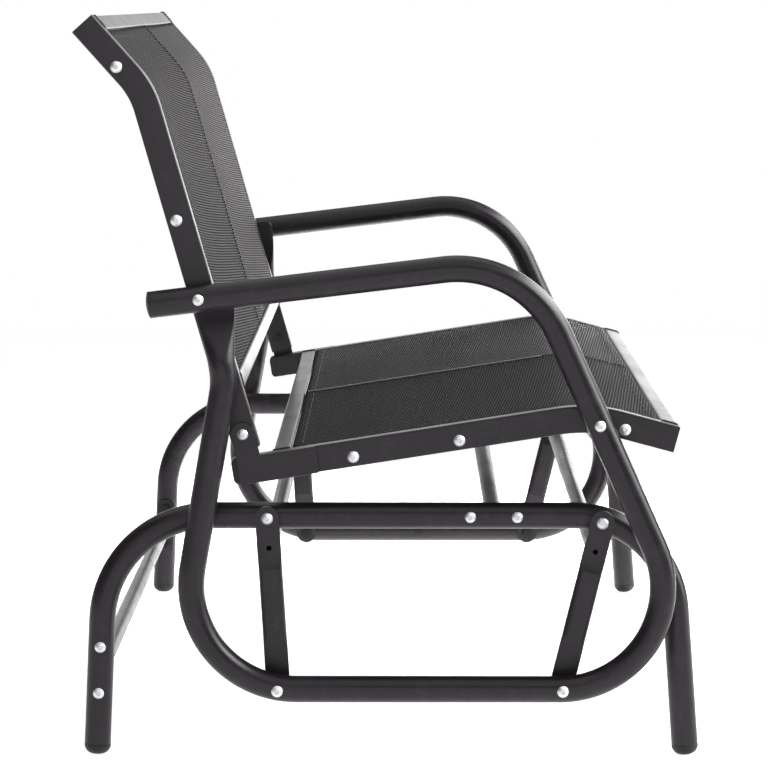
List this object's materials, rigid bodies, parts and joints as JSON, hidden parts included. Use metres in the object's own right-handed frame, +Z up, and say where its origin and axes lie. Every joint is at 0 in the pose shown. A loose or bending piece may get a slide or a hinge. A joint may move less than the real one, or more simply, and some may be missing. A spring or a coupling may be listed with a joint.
{
  "type": "swing bench",
  "caption": "Glider bench for a porch: bent tube base, hanging flat links, and a sling seat and back carried in closed loop side frames.",
  "frame": {"origin": "middle of the bench's outer box, on the floor", "axes": "+X the way a sitter faces, +Y to the sitter's left along the bench, +Z up"},
  "size_m": [0.7054, 1.2166, 0.839],
  "materials": {
    "frame_paint": "dark grey powder coat, satin with a fine texture",
    "zinc": "bright zinc plated fasteners",
    "black_plastic": "moulded black plastic caps and plugs",
    "nylon": "moulded nylon bushes, washers and spacers",
    "sling_fabric": "dark grey woven coated mesh",
    "batten_metal": "plain mill finish, hidden in the hems"
  },
  "bodies": {
    "base": {"base_side_right": "frame_paint", "base_side_left": "frame_paint", "base_mid_cross_tube": "frame_paint", "base_rear_cross_tube": "frame_paint", "foot_rear_right": "black_plastic", "foot_rear_left": "black_plastic", "foot_front_right": "black_plastic", "foot_front_left": "black_plastic", "base_cross_bolts": "zinc", "base_cross_nuts": "zinc", "top_pivot_bolts": "zinc", "top_pivot_nuts": "zinc", "top_pivot_washers": "nylon"},
    "rear_links": {"rear_link_right": "frame_paint", "rear_link_left": "frame_paint", "rear_link_tie_tube": "frame_paint", "rear_link_bushes": "nylon"},
    "front_links": {"front_link_right": "frame_paint", "front_link_left": "frame_paint", "front_link_tie_tube": "frame_paint", "front_link_bushes": "nylon"},
    "seat": {"side_frame_right": "frame_paint", "side_frame_left": "frame_paint", "arm_cap_right": "black_plastic", "arm_cap_left": "black_plastic", "seat_rail_right": "frame_paint", "seat_rail_left": "frame_paint", "seat_rail_cap_right": "black_plastic", "seat_rail_cap_left": "black_plastic", "rail_end_plugs": "black_plastic", "seat_bracket_right": "frame_paint", "seat_bracket_left": "frame_paint", "seat_front_bar": "frame_paint", "seat_rear_bar": "frame_paint", "seat_centre_rail": "frame_paint", "back_rail_right": "frame_paint", "back_rail_left": "frame_paint", "back_top_bar": "frame_paint", "back_lower_bar": "frame_paint", "back_centre_rail": "frame_paint", "seat_sling": "sling_fabric", "back_sling": "sling_fabric", "seat_batten_right": "batten_metal", "seat_batten_left": "batten_metal", "back_batten_right": "batten_metal", "back_batten_left": "batten_metal", "seat_sling_screws": "zinc", "back_sling_screws": "zinc", "arm_bolts": "zinc", "arm_nuts": "zinc", "bracket_bolts": "zinc", "bracket_nuts": "zinc", "seat_front_bolts": "zinc", "seat_front_nuts": "zinc", "seat_saddles": "nylon", "lower_pivot_bolts": "zinc", "lower_pivot_nuts": "zinc", "lower_pivot_spacers": "nylon", "front_lower_sleeves": "nylon"}
  },
  "joints": [
    {"name": "rear_link_swing", "type": "hinge", "parent": "base", "child": "rear_links", "pos_m": [-0.13841, 0, 0.2735], "axis": [0, -1, 0], "range_deg": [-12, 12]},
    {"name": "front_link_swing", "type": "hinge", "parent": "base", "child": "front_links", "pos_m": [0.24009, 0, 0.26843], "axis": [0, -1, 0], "range_deg": [-12.4, 12.4]},
    {"name": "seat_glide", "type": "hinge", "parent": "rear_links", "child": "seat", "pos_m": [-0.12641, 0, 0.08288], "axis": [0, -1, 0], "range_deg": [-14.2, 14.2]}
  ],
  "couplings": [
    {"joint": "front_link_swing", "follows": "rear_link_swing", "ratio": 1.0279},
    {"joint": "seat_glide", "follows": "rear_link_swing", "ratio": -1.1803}
  ]
}
